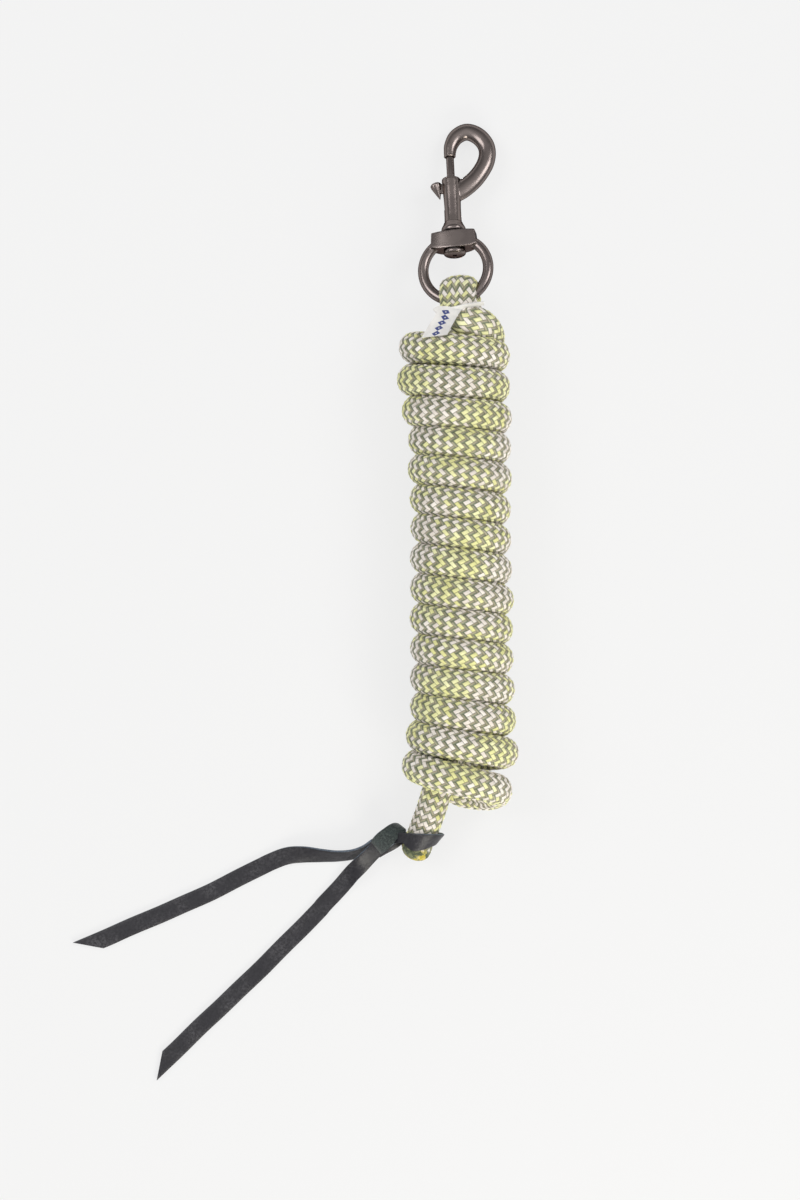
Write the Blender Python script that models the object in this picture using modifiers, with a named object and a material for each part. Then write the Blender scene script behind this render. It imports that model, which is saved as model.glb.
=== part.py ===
"""Lead rope with a bolt snap: a 14 mm braided rope wound into a hank, a swivelling bolt snap on the
eye at one end, and a knotted leather popper on the other. Metres, +Z up, lying on Z = 0."""

import math

import bmesh
import bpy
from mathutils import Matrix, Vector

MM = 0.001
GAP = 0.3 * MM  # left between pieces that touch

# Rope
ROPE_R = 7.0 * MM
EYE_HALF_THICK = 4.25 * MM  # the rope is pressed flat where it bends round the ring
EYE_HALF_WIDE = 8.9 * MM

# Hank: fifteen wraps stacked along Y
WRAPS = 15
WRAP_PITCH = 13.95 * MM
HANK_X = 78.3 * MM
HANK_Z = 22.6 * MM
HANK_R = 23.8 * MM
HANK_FLAT = 0.955  # height of the hank over its width
HANK_FIRST_Y = 118.6 * MM  # middle of the wrap nearest the snap
HANK_TOP_Y = 135.6 * MM
HANK_GROOVE = 2.6 * MM
HANK_END_SLANT = math.radians(15.0)
HANK_END = Vector((66.5, -90.8, 0.0)) * MM  # where the tail leaves the slanted end

# Tail of the rope, from the hank to its sealed end, and the popper's place on it
TAIL_END = Vector((55.6, -121.4, 9.9)) * MM  # also the height of the stretch in the popper's band
TAIL_START_Z = 12.0 * MM
TAIL_MIDDLE_Z = 10.8 * MM
POPPER_AT = 0.78  # along the tail

# Snap: its frame starts at the middle of the ring's wire, Z along the barrel towards the hook
PIVOT = Vector((76.5, 141.0, 26.0)) * MM
SNAP_YAW = math.radians(2.6)
EYE_ROLL = math.radians(10.0)  # the eye is turned this far on the barrel's axis
HOOK_TOP_V = 84.3 * MM  # middle of the hook's bend
HOOK_FLAT = 0.88  # thickness of the hook over its width
HOOK_END_R = 4.0 * MM
# From the nose round to the barrel: across, along the barrel, and the radius there, in millimetres
HOOK_LINE = (
    (0.0, 71.7, 2.75), (0.15, 74.5, 2.85), (0.9, 78.0, 3.2), (3.6, 82.2, 3.7), (8.4, 84.3, 4.0),
    (13.2, 82.3, 4.1), (16.4, 78.0, 4.05), (17.0, 73.5, 3.95), (15.6, 68.3, 4.1), (12.8, 64.0, 4.0),
    (9.9, 60.4, 4.1), (6.5, 57.2, 4.3), (3.0, 54.4, 4.0), (0.8, 52.6, 3.3),
)
WIRE_R = 2.5 * MM
RING_R = 15.4 * MM
BRIDGE_V = (24.8 * MM, 33.5 * MM)
BRIDGE_HALF_WIDE, BRIDGE_HALF_THICK = 10.5 * MM, 3.2 * MM
BOSS_R = 5.35 * MM
BARREL_V = (33.8 * MM, 61.0 * MM)
BORE_R = 2.8 * MM
BORE_TOP_V = 59.8 * MM
ROD_R = 1.85 * MM
ROD_TIP_V = 73.2 * MM
PLUNGER_R = 2.5 * MM
PLUNGER_V = (52.2 * MM, 59.5 * MM)
SHANK_R = 2.5 * MM
SHANK_TOP_V = 40.0 * MM
NOSE_V = 71.7 * MM
GATE_TRAVEL = 8.5 * MM
STEM_V = (53.8 * MM, 58.3 * MM)
STEM_HALF = 1.05 * MM
THUMB_BROAD = Vector((-7.35, 0.0, 58.0)) * MM
THUMB_TIP = Vector((-5.65, 0.0, 50.9)) * MM
SPRING_TURNS = 7
SPRING_R = 2.05 * MM
SPRING_WIRE_R = 0.25 * MM

# Leather and label
STRAP_WIDE = 8.2 * MM
STRAP_THICK = 2.0 * MM
KNOT_AT = Vector((44.4, -111.0, 5.4)) * MM
KNOT_HALVES = (8.8 * MM, 5.6 * MM, 5.2 * MM)
KNOT_TURN = math.radians(32.0)
# Each tail's middle line in millimetres, and how far its cut end runs on along one edge
POPPER_TAILS = {
    "upper_tail_form": (
        (
            (42.0, -113.0, 2.6), (35.0, -117.6, 1.9), (28.0, -121.1, 1.25), (19.9, -122.3, 1.2),
            (8.6, -120.6, 1.2), (-3.8, -120.6, 1.2), (-17.5, -126.1, 1.2), (-41.2, -137.7, 1.2),
            (-68.7, -150.0, 1.2), (-98.0, -162.5, 1.2),
        ),
        -6.2 * MM,
    ),
    "lower_tail_form": (
        (
            (42.0, -112.5, 4.4), (36.6, -118.4, 4.2), (30.6, -124.4, 3.4), (24.5, -131.0, 1.6),
            (19.0, -137.8, 1.2), (7.6, -150.0, 1.2), (-27.0, -184.0, 1.2), (-64.2, -219.6, 1.2),
        ),
        5.8 * MM,
    ),
}
LABEL_THICK = 0.8 * MM
LABEL_SPANS = 10
# The label's two long edges in millimetres, from the throat's crease to the hank
LABEL_OUTER = (
    (88.4, 138.0, 40.0), (83.0, 137.0, 41.2), (77.0, 136.4, 42.2), (71.0, 135.9, 43.2),
    (66.0, 135.6, 44.0), (64.0, 131.6, 46.6), (62.2, 126.8, 48.6), (60.6, 121.6, 49.4),
)
LABEL_INNER = (
    (88.0, 137.2, 38.6), (83.4, 136.9, 37.6), (79.6, 136.2, 37.6), (77.4, 135.4, 39.6),
    (76.2, 133.6, 44.2), (74.6, 130.6, 47.4), (73.0, 127.2, 49.2), (71.4, 123.9, 49.8),
)


def clear_scene():
    for thing in list(bpy.data.objects):
        bpy.data.objects.remove(thing, do_unlink=True)


def make_collection(name):
    made = bpy.data.collections.new(name)
    bpy.context.scene.collection.children.link(made)
    return made


def make_material(name, colour, roughness, metallic=0.0):
    made = bpy.data.materials.new(name)
    made.use_nodes = True
    shader = made.node_tree.nodes["Principled BSDF"]
    shader.inputs["Base Color"].default_value = (*colour, 1.0)
    shader.inputs["Roughness"].default_value = roughness
    shader.inputs["Metallic"].default_value = metallic
    return made


def finish_mesh(name, bm, where, collection, material):
    """A named object from a bmesh, placed by its own matrix and shaded smooth."""
    bmesh.ops.recalc_face_normals(bm, faces=bm.faces)
    mesh = bpy.data.meshes.new(name)
    bm.to_mesh(mesh)
    bm.free()
    made = bpy.data.objects.new(name, mesh)
    collection.objects.link(made)
    made.matrix_world = where
    if material:
        mesh.materials.append(material)
    mesh.shade_smooth()
    mesh.set_sharp_from_angle(angle=math.radians(35))
    return made


def boolean(target, other, operation):
    cut = target.modifiers.new(f"{operation.lower()} {other.name}", "BOOLEAN")
    cut.operation = operation
    cut.object = other
    cut.solver = "EXACT"


def as_cutter(thing):
    """A piece that only shapes another one: kept out of the model."""
    for home in list(thing.users_collection):
        home.objects.unlink(thing)
    CUTTERS.objects.link(thing)
    thing.hide_render = True
    thing.display_type = "WIRE"
    return thing


def turned(name, profile, where, collection, material, steps=32):
    """A solid of revolution about local Z. The profile runs down, from the top to the bottom."""
    bm = bmesh.new()
    points = [bm.verts.new((radius, 0.0, height)) for radius, height in profile]
    for upper, lower in zip(points, points[1:]):
        bm.edges.new((upper, lower))
    made = finish_mesh(name, bm, where, collection, material)
    screw = made.modifiers.new("turn", "SCREW")
    screw.steps = steps
    screw.render_steps = steps
    screw.use_merge_vertices = True
    screw.merge_threshold = 0.01 * MM
    screw.use_smooth_shade = True
    return made


def box(name, low, high, where, collection, material=None, bevel=0.0):
    bm = bmesh.new()
    middle = (Vector(low) + Vector(high)) / 2
    size = Vector(high) - Vector(low)
    bmesh.ops.create_cube(bm, size=1.0, matrix=Matrix.Translation(middle) @ Matrix.Diagonal((*size, 1.0)))
    made = finish_mesh(name, bm, where, collection, material)
    if bevel:
        edge = made.modifiers.new("round", "BEVEL")
        edge.width = bevel
        edge.segments = 2
    return made


def smooth_route(points, count):
    """Points spread evenly in parameter along a Catmull-Rom curve through the given ones."""
    points = [Vector(p) for p in points]
    ends = [2 * points[0] - points[1], *points, 2 * points[-1] - points[-2]]
    found = []
    for i in range(count):
        along = i / (count - 1) * (len(points) - 1)
        k = min(int(along), len(points) - 2)
        t = along - k
        a, b, c, d = ends[k : k + 4]
        found.append(
            0.5 * (2 * b + (c - a) * t + (2 * a - 5 * b + 4 * c - d) * t * t + (3 * (b - c) + d - a) * t**3)
        )
    return found


def tube(name, points, radius, radii, where, collection, material, resolution=4):
    """A curve object with a round bevel along the points, with filled caps."""
    curve = bpy.data.curves.new(name, "CURVE")
    curve.dimensions = "3D"
    curve.bevel_depth = radius
    curve.bevel_resolution = resolution
    curve.use_fill_caps = True
    line = curve.splines.new("POLY")
    line.points.add(len(points) - 1)
    for point, at, share in zip(line.points, points, radii):
        point.co = (*at, 1.0)
        point.radius = share
    made = bpy.data.objects.new(name, curve)
    collection.objects.link(made)
    made.matrix_world = where
    curve.materials.append(material)
    return made


def as_mesh(thing):
    """The curve's surface as a mesh object of the same name, ready for Booleans."""
    bpy.context.view_layer.update()
    mesh = bpy.data.meshes.new_from_object(thing.evaluated_get(bpy.context.evaluated_depsgraph_get()))
    bm = bmesh.new()
    bm.from_mesh(mesh)
    bmesh.ops.remove_doubles(bm, verts=bm.verts, dist=0.001 * MM)
    bmesh.ops.recalc_face_normals(bm, faces=bm.faces)
    bm.to_mesh(mesh)
    bm.free()
    name, where, home = thing.name, thing.matrix_world.copy(), thing.users_collection[0]
    bpy.data.objects.remove(thing, do_unlink=True)
    made = bpy.data.objects.new(name, mesh)
    home.objects.link(made)
    made.matrix_world = where
    mesh.shade_smooth()
    mesh.set_sharp_from_angle(angle=math.radians(35))
    return made


def strip(name, left, right, thickness, collection, material):
    """An open sheet between two edges, made solid by Solidify."""
    bm = bmesh.new()
    rows = [(bm.verts.new(a), bm.verts.new(b)) for a, b in zip(left, right)]
    for (a, b), (c, d) in zip(rows, rows[1:]):
        bm.faces.new((a, c, d, b))
    made = finish_mesh(name, bm, Matrix(), collection, material)
    solid = made.modifiers.new("thickness", "SOLIDIFY")
    solid.thickness = thickness
    solid.offset = 0.0
    return made


def axes_matrix(origin, x_axis, z_axis):
    """A placement from its X and Z directions."""
    z_axis = z_axis.normalized()
    x_axis = (x_axis - x_axis.dot(z_axis) * z_axis).normalized()
    turn = Matrix((x_axis, z_axis.cross(x_axis), z_axis)).transposed()
    return Matrix.Translation(origin) @ turn.to_4x4()


def snap_frames():
    """Placements of the snap, of its eye, and of the rope's bend round the eye's wire."""
    reach = HOOK_END_R * HOOK_FLAT + 0.04 * MM
    pitch = math.asin((PIVOT.z - reach) / HOOK_TOP_V)
    level = Vector((math.cos(SNAP_YAW), math.sin(SNAP_YAW), 0.0))
    ahead = Vector((-math.sin(SNAP_YAW), math.cos(SNAP_YAW), 0.0))
    axis = ahead * math.cos(pitch) - Vector((0.0, 0.0, math.sin(pitch)))
    snap = axes_matrix(PIVOT, level, axis)
    eye = snap @ Matrix.Rotation(-EYE_ROLL, 4, "Z")
    wire = (eye.to_3x3() @ Vector((1.0, 0.0, 0.0))).normalized()
    if wire.z < 0:
        eye = snap @ Matrix.Rotation(EYE_ROLL, 4, "Z")
        wire = (eye.to_3x3() @ Vector((1.0, 0.0, 0.0))).normalized()
    bend = axes_matrix(PIVOT, wire, wire.cross(Vector((0.0, 1.0, 0.0))))
    return snap, eye, bend


def make_snap_body(where):
    """Barrel and hook in one casting, bored for the bolt, with a slot for the thumb stud."""
    low, high = BARREL_V
    profile = [
        (0.0, high), (3.9 * MM, high), (4.3 * MM, high - 0.25 * MM), (4.45 * MM, high - 0.8 * MM),
        (4.4 * MM, 56.0 * MM), (4.1 * MM, 50.0 * MM), (3.97 * MM, 45.0 * MM), (4.0 * MM, 42.0 * MM),
        (4.2 * MM, 39.4 * MM), (4.75 * MM, 37.4 * MM), (5.45 * MM, 35.9 * MM), (5.65 * MM, 35.0 * MM),
        (5.5 * MM, 34.2 * MM), (4.9 * MM, low), (0.0, low),
    ]
    body = turned("snap_body", profile, where, PARTS, METAL)
    route = smooth_route([Vector(p) * MM for p in HOOK_LINE], 37)
    line = [Vector((p.x, 0.0, p.y)) for p in route]
    radii = [p.z / HOOK_END_R for p in route]
    squash = Matrix.Diagonal((1.0, HOOK_FLAT, 1.0, 1.0))
    hook = as_cutter(as_mesh(tube("hook_form", line, HOOK_END_R, radii, where @ squash, CUTTERS, METAL)))
    boolean(body, hook, "UNION")
    bore_profile = [
        (0.0, high + 1.0 * MM), (ROD_R + GAP, high + 1.0 * MM), (ROD_R + GAP, BORE_TOP_V),
        (BORE_R, BORE_TOP_V), (BORE_R, low - 1.0 * MM), (0.0, low - 1.0 * MM),
    ]
    boolean(body, as_cutter(turned("barrel_bore", bore_profile, where, CUTTERS, None)), "DIFFERENCE")
    recess_profile = [
        (0.0, ROD_TIP_V + 0.4 * MM), (ROD_R + 0.25 * MM, ROD_TIP_V + 0.4 * MM),
        (ROD_R + 0.25 * MM, NOSE_V - 1.0 * MM), (0.0, NOSE_V - 1.0 * MM),
    ]
    recess = as_cutter(turned("nose_recess", recess_profile, where, CUTTERS, None))
    boolean(body, recess, "DIFFERENCE")
    slot_half = STEM_HALF + 0.35 * MM
    slot_low = (-6.5 * MM, -slot_half, STEM_V[0] - GATE_TRAVEL - 0.4 * MM)
    slot_high = (-1.0 * MM, slot_half, STEM_V[1] + 1.0 * MM)
    boolean(body, as_cutter(box("stud_slot", slot_low, slot_high, where, CUTTERS)), "DIFFERENCE")
    return body


def make_gate_bolt(where):
    """The rod that closes the hook, and the plunger that the spring pushes."""
    low, high = PLUNGER_V
    profile = [
        (0.0, ROD_TIP_V), (ROD_R - 0.4 * MM, ROD_TIP_V), (ROD_R, ROD_TIP_V - 0.6 * MM),
        (ROD_R, high), (PLUNGER_R, high), (PLUNGER_R, low), (0.0, low),
    ]
    bolt = turned("gate_bolt", profile, where, PARTS, METAL, steps=24)
    hole_low = (-3.0 * MM, -STEM_HALF - GAP, STEM_V[0] - GAP)
    hole_high = (-1.0 * MM, STEM_HALF + GAP, STEM_V[1] + GAP)
    boolean(bolt, as_cutter(box("stud_hole", hole_low, hole_high, where, CUTTERS)), "DIFFERENCE")
    return bolt


def make_thumb_stud(where):
    """A stem through the slot and a shell-shaped thumb piece outside the barrel."""
    low = (-7.0 * MM, -STEM_HALF, STEM_V[0])
    high = (-1.0 * MM - GAP, STEM_HALF, STEM_V[1])
    stud = box("thumb_stud", low, high, where, PARTS, METAL)
    bm = bmesh.new()
    bmesh.ops.create_cone(
        bm, cap_ends=True, segments=20, radius1=2.45 * MM, radius2=0.4 * MM,
        depth=(THUMB_TIP - THUMB_BROAD).length,
    )
    lean = (THUMB_TIP - THUMB_BROAD).to_track_quat("Z", "Y").to_matrix().to_4x4()
    widen = Matrix.Diagonal((1.0, 1.3, 1.0, 1.0))
    bm.transform(widen @ Matrix.Translation((THUMB_TIP + THUMB_BROAD) / 2) @ lean)
    head = as_cutter(finish_mesh("thumb_piece", bm, where, CUTTERS, None))
    boolean(stud, head, "UNION")
    return stud


def make_gate_spring(where):
    """A compression spring between the rivet's end and the plunger."""
    low = SHANK_TOP_V + GAP + SPRING_WIRE_R
    high = PLUNGER_V[0] - GAP - SPRING_WIRE_R
    per_turn = 10
    count = SPRING_TURNS * per_turn + 1
    line = []
    for i in range(count):
        angle = 2 * math.pi * i / per_turn
        height = low + (high - low) * i / (count - 1)
        line.append(Vector((SPRING_R * math.cos(angle), SPRING_R * math.sin(angle), height)))
    return tube("gate_spring", line, SPRING_WIRE_R, [1.0] * count, where, PARTS, STEEL, resolution=2)


def make_swivel_rivet(where):
    """Pan head under the eye's bridge, shank up through the bridge into the barrel's bore."""
    profile = [
        (0.0, SHANK_TOP_V), (SHANK_R - 0.3 * MM, SHANK_TOP_V), (SHANK_R, SHANK_TOP_V - 0.4 * MM),
        (SHANK_R, 24.5 * MM), (4.9 * MM, 24.5 * MM), (5.2 * MM, 24.1 * MM), (5.2 * MM, 23.3 * MM),
        (4.9 * MM, 22.7 * MM), (4.2 * MM, 22.4 * MM), (0.0, 22.3 * MM),
    ]
    rivet = turned("swivel_rivet", profile, where, PARTS, METAL)
    half = 0.95 * MM
    socket = box("rivet_socket", (-half, -half, 21.0 * MM), (half, half, 23.3 * MM), where, CUTTERS)
    boolean(rivet, as_cutter(socket), "DIFFERENCE")
    return rivet


def make_swivel_eye(where):
    """Ring and bridge in one casting; the bridge has a round boss bored for the rivet."""
    low, high = BRIDGE_V
    corner = Vector((BRIDGE_HALF_WIDE, BRIDGE_HALF_THICK, 0.0))
    lowest, highest = Vector((0.0, 0.0, low)) - corner, Vector((0.0, 0.0, high)) + corner
    eye = box("swivel_eye", lowest, highest, where, PARTS, METAL, bevel=0.9 * MM)
    bpy.ops.mesh.primitive_torus_add(
        major_radius=RING_R, minor_radius=WIRE_R, major_segments=44, minor_segments=14,
        rotation=(math.pi / 2, 0.0, 0.0),
    )
    ring = bpy.context.object
    ring.name = "ring_form"
    ring.matrix_world = where @ Matrix.Translation((0.0, 0.0, RING_R)) @ ring.matrix_world
    boolean(eye, as_cutter(ring), "UNION")
    boss_profile = [
        (0.0, high), (BOSS_R - 0.45 * MM, high), (BOSS_R, high - 0.5 * MM), (BOSS_R, low + 0.5 * MM),
        (BOSS_R - 0.45 * MM, low), (0.0, low),
    ]
    boolean(eye, as_cutter(turned("bridge_boss", boss_profile, where, CUTTERS, None)), "UNION")
    hole_profile = [
        (0.0, high + 2.0 * MM), (BORE_R, high + 2.0 * MM), (BORE_R, low - 2.0 * MM), (0.0, low - 2.0 * MM),
    ]
    boolean(eye, as_cutter(turned("rivet_hole", hole_profile, where, CUTTERS, None)), "DIFFERENCE")
    return eye


def make_rope_eye(where):
    """The rope's flattened bend round the ring's wire, from the splice below to the throat above."""
    bend_r = WIRE_R + GAP + EYE_HALF_THICK + 0.25 * MM
    line = [Vector((0.0, -4.2 * MM, -bend_r)), Vector((0.0, -2.1 * MM, -bend_r))]
    steps = 16
    for i in range(steps + 1):
        angle = -math.pi / 2 + math.pi * i / steps
        line.append(Vector((0.0, bend_r * math.cos(angle), bend_r * math.sin(angle))))
    line.append(Vector((0.0, -1.4 * MM, bend_r)))
    widen = Matrix.Diagonal((EYE_HALF_WIDE / EYE_HALF_THICK, 1.0, 1.0, 1.0))
    return tube("rope_eye", line, EYE_HALF_THICK, [1.0] * len(line), where @ widen, PARTS, ROPE)


def hank_section(y):
    """Radius of the hank and the shift of its middle at a place along it: both ends are fuller."""
    wrap = (HANK_FIRST_Y - y) / WRAP_PITCH + 1
    top = math.exp(-(((wrap - 1.4) / 1.1) ** 2))
    foot = math.exp(-(((wrap - 14.2) / 1.3) ** 2))
    groove = HANK_GROOVE * (0.5 - 0.5 * math.cos(2 * math.pi * wrap))
    return HANK_R + 2.2 * MM * top + 2.4 * MM * foot - groove, -3.3 * MM * top + 0.7 * MM * foot


def make_rope_hank():
    """Outer form of the wound rope: ridged, flat underneath, cut on a slant where the tail leaves."""
    first_y = HANK_FIRST_Y + WRAP_PITCH / 2
    last_y = HANK_FIRST_Y - (WRAPS + 0.2) * WRAP_PITCH
    rows_per_wrap = 4
    rows = round((first_y - last_y) / WRAP_PITCH * rows_per_wrap)
    line, radii = [], []
    for y, share in ((HANK_TOP_Y, 0.60), (HANK_TOP_Y - 1.2 * MM, 0.70), (HANK_TOP_Y - 5.0 * MM, 0.86)):
        line.append(Vector((HANK_X - 1.5 * MM, y, 0.0)))
        radii.append(share)
    for i in range(rows + 1):
        y = first_y - i * WRAP_PITCH / rows_per_wrap
        radius, shift = hank_section(y)
        line.append(Vector((HANK_X + shift, y, 0.0)))
        radii.append(radius / HANK_R)
    flatten = Matrix.Translation((0.0, 0.0, HANK_Z)) @ Matrix.Diagonal((1.0, 1.0, HANK_FLAT, 1.0))
    hank = as_mesh(tube("rope_hank", line, HANK_R, radii, flatten, PARTS, ROPE, resolution=10))
    deep = 60.0 * MM
    ground = box("ground_cut", (0.0, -0.2, -deep), (0.2, 0.2, 0.0), Matrix(), CUTTERS)
    boolean(hank, as_cutter(ground), "DIFFERENCE")
    slant = Matrix.Translation(HANK_END) @ Matrix.Rotation(-HANK_END_SLANT, 4, "Z")
    end = box("end_cut", (-deep, -deep, -deep), (deep, 0.0, 2 * deep), slant, CUTTERS)
    boolean(hank, as_cutter(end), "DIFFERENCE")
    return hank


def tail_points():
    """The tail's middle line, square to the hank's slanted end and down to the table."""
    out = Vector((-math.sin(HANK_END_SLANT), -math.cos(HANK_END_SLANT), 0.0))
    start = HANK_END + Vector((0.0, 0.0, TAIL_START_Z)) + out * GAP
    middle, low = start.lerp(TAIL_END, 0.35), start.lerp(TAIL_END, 0.6)
    middle.z, low.z = TAIL_MIDDLE_Z, TAIL_END.z
    return smooth_route([start, start + out * 4.0 * MM, middle, low, TAIL_END], 13)


def make_rope_tail():
    """The rope's free end, tapered where it is melted shut."""
    line = tail_points()
    radii = [1.0] * (len(line) - 2) + [0.93, 0.7]
    return tube("rope_tail", line, ROPE_R, radii, Matrix(), PARTS, ROPE)


def strap_edges(points, count, tip=0.0):
    """Both edges of a flat strap along a route; at its end the right edge runs on by tip."""
    line = smooth_route(points, count)
    left, right = [], []
    for i, at in enumerate(line):
        along = line[min(i + 1, count - 1)] - line[max(i - 1, 0)]
        across = Vector((-along.y, along.x, 0.0)).normalized() * STRAP_WIDE / 2
        end = along.normalized() * tip if i == count - 1 else Vector()
        left.append(at + across + end)
        right.append(at - across - end)
    return left, right


def make_popper():
    """One leather strip: a band round the rope's end, a knot beside it, and two flat tails."""
    line = tail_points()
    place = POPPER_AT * (len(line) - 1)
    k = int(place)
    along = line[k + 1] - line[k]
    half = STRAP_WIDE / 2
    inner = ROPE_R + 2 * GAP
    outer = inner + STRAP_THICK
    band_profile = [(inner, -half), (inner, half), (outer, half), (outer, -half), (inner, -half)]
    seat = line[k].lerp(line[k + 1], place - k)
    where = axes_matrix(seat, Vector((1.0, 0.0, 0.0)), Vector((along.x, along.y, 0.0)))
    strap = turned("popper_strap", band_profile, where, PARTS, LEATHER)
    bm = bmesh.new()
    bmesh.ops.create_uvsphere(bm, u_segments=20, v_segments=12, radius=1.0)
    bm.transform(Matrix.Diagonal((*KNOT_HALVES, 1.0)))
    turn = Matrix.Translation(KNOT_AT) @ Matrix.Rotation(KNOT_TURN, 4, "Z")
    boolean(strap, as_cutter(finish_mesh("knot_form", bm, turn, CUTTERS, None)), "UNION")
    for name, (points, tip) in POPPER_TAILS.items():
        left, right = strap_edges([Vector(p) * MM for p in points], 28, tip)
        form = strip(name, left, right, STRAP_THICK, CUTTERS, None)
        boolean(strap, as_cutter(form), "UNION")
    return strap


def make_label():
    """A flat tape: on edge in the throat's crease at one end, lying over the hank at the other."""
    count = LABEL_SPANS + 1
    left = smooth_route([Vector(p) * MM for p in LABEL_OUTER], count)
    right = smooth_route([Vector(p) * MM for p in LABEL_INNER], count)
    return strip("woven_label", left, right, LABEL_THICK, PARTS, TAPE)


clear_scene()
PARTS = make_collection("lead_rope")
CUTTERS = make_collection("cutters")
METAL = make_material("gunmetal", (0.18, 0.155, 0.15), 0.38, 1.0)
STEEL = make_material("spring_steel", (0.45, 0.45, 0.46), 0.3, 1.0)
ROPE = make_material("braided_rope", (0.42, 0.43, 0.27), 0.75)
LEATHER = make_material("black_leather", (0.035, 0.035, 0.042), 0.5)
TAPE = make_material("woven_tape", (0.72, 0.71, 0.68), 0.7)

snap_frame, eye_frame, bend_frame = snap_frames()
make_snap_body(snap_frame)
make_gate_bolt(snap_frame)
make_thumb_stud(snap_frame)
make_gate_spring(snap_frame)
make_swivel_rivet(snap_frame)
make_swivel_eye(eye_frame)
make_rope_eye(bend_frame)
make_rope_hank()
make_rope_tail()
make_popper()
make_label()
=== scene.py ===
"""The looks of a lead rope: a braided rope wound into a hank, a swivelling bolt snap on its eye, a woven
label in the throat, and a knotted leather popper on the rope's sealed end. Metres, +Z up."""

import math

import bmesh
import bpy
import numpy as np
from mathutils import Matrix, Vector


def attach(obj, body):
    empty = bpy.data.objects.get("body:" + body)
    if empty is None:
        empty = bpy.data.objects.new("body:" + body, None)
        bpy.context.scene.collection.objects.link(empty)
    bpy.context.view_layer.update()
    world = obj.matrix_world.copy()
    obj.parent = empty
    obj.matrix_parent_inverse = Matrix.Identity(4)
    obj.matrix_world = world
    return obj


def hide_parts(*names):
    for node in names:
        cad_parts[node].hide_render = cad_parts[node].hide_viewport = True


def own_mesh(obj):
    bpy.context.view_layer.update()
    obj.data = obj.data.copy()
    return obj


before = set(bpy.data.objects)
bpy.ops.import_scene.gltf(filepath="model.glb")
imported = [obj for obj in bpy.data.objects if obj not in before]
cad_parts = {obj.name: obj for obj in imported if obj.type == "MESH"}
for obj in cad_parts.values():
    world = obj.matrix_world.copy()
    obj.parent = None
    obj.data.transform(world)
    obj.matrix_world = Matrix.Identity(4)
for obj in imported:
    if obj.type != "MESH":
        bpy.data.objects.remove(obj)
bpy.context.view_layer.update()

MM = 0.001

# ---------------------------------------------------------------- camera and light

LENS = 96.43  # with the camera's height it frames the whole part
CAMERA_AT = (49.8 * MM, 1.2 * MM, 1.525)  # straight above, looking down
CENTRE = (0.03, 0.0, 0.0)  # where the lamps aim


def make_camera():
    data = bpy.data.cameras.new("camera")
    data.sensor_fit = "VERTICAL"
    data.sensor_height = 36.0
    data.lens = LENS
    camera = bpy.data.objects.new("camera", data)
    camera.location = CAMERA_AT
    bpy.context.scene.collection.objects.link(camera)
    bpy.context.scene.camera = camera


make_camera()
bpy.context.scene.view_settings.view_transform = "Standard"


def area_light(name, place, size, power, colour=(1.0, 1.0, 1.0)):
    data = bpy.data.lights.new(name, "AREA")
    data.shape = "RECTANGLE"
    data.size, data.size_y = size
    data.energy = power
    data.color = colour
    lamp = bpy.data.objects.new(name, data)
    lamp.location = place
    lamp.rotation_euler = (Vector(CENTRE) - Vector(place)).to_track_quat("-Z", "Y").to_euler()
    bpy.context.scene.collection.objects.link(lamp)
    lamp.visible_camera = False


def make_world():
    """The studio that the metal reflects: dark just above the horizon and pale overhead."""
    world = bpy.data.worlds.new("studio")
    bpy.context.scene.world = world
    world.use_nodes = True
    tree = world.node_tree
    back = tree.nodes["Background"]
    place = tree.nodes.new("ShaderNodeTexCoord")
    split = tree.nodes.new("ShaderNodeSeparateXYZ")
    ramp = tree.nodes.new("ShaderNodeValToRGB")
    tree.links.new(place.outputs["Generated"], split.inputs[0])
    tree.links.new(split.outputs["Z"], ramp.inputs[0])
    stops = ramp.color_ramp
    stops.elements[0].position, stops.elements[0].color = 0.0, (0.86, 0.86, 0.86, 1.0)
    stops.elements[1].position, stops.elements[1].color = 1.0, (0.80, 0.80, 0.81, 1.0)
    for at, grey in ((0.10, 0.70), (0.22, 0.16), (0.62, 0.30), (0.85, 0.62)):
        stop = stops.elements.new(at)
        stop.color = (grey, grey, grey * 1.01, 1.0)
    tree.links.new(ramp.outputs[0], back.inputs[0])


make_world()
area_light("key", (0.40, -0.90, 0.55), (0.7, 0.4), 8.0, (1.0, 0.97, 0.87))
area_light("fill", (-0.75, 0.35, 0.95), (0.8, 0.6), 5.5)
area_light("rim", (0.80, 0.45, 0.85), (0.5, 0.5), 4.0)

# ---------------------------------------------------------------- materials


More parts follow.
